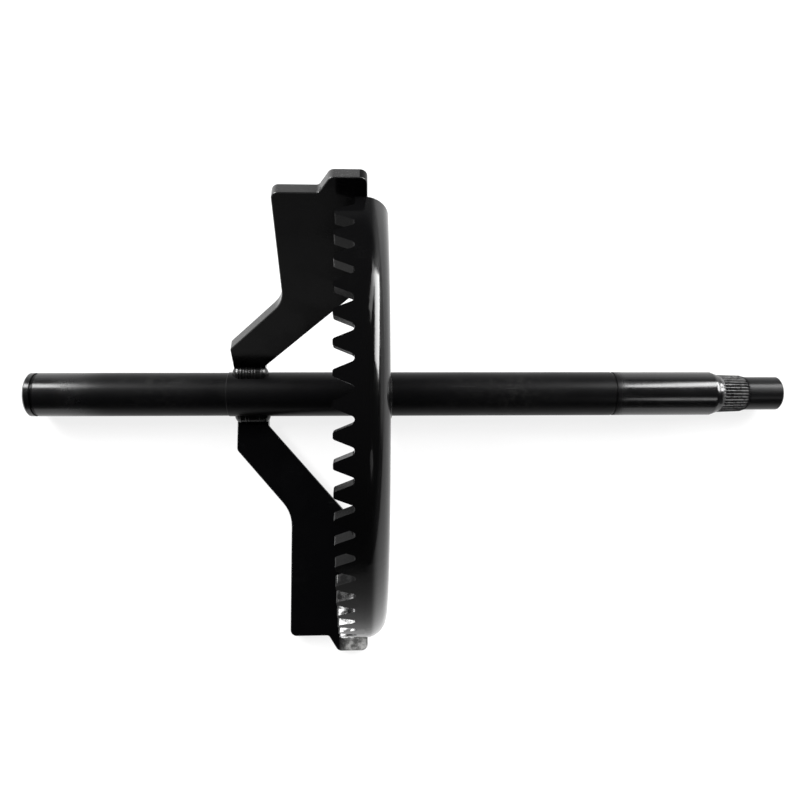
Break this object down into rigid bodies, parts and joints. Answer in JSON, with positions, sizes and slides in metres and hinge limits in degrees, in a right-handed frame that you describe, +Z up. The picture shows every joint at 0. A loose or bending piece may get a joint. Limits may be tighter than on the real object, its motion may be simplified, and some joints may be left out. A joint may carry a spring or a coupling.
{
  "type": "steering sector gear",
  "caption": "Black painted steering sector gear: a round shaft with a splined end carries a welded pressed sector whose bent rim has crown teeth.",
  "frame": {"origin": "on the shaft axis in the plane of the web's back face, the centre of the crown teeth", "axes": "+X along the shaft to the splined end, +Z up from the floor the part lies on, the lower arm along -Y"},
  "size_m": [0.3259, 0.1713, 0.1109],
  "materials": {
    "shaft_paint": "semi-gloss black paint",
    "sector_paint": "gloss black paint",
    "weld_paint": "gloss black paint over weld bead"
  },
  "bodies": {
    "root": {"steering_shaft": "shaft_paint", "sector_gear": "sector_paint", "hub_weld": "weld_paint", "upper_arm_weld": "weld_paint", "lower_arm_weld": "weld_paint"}
  },
  "joints": []
}
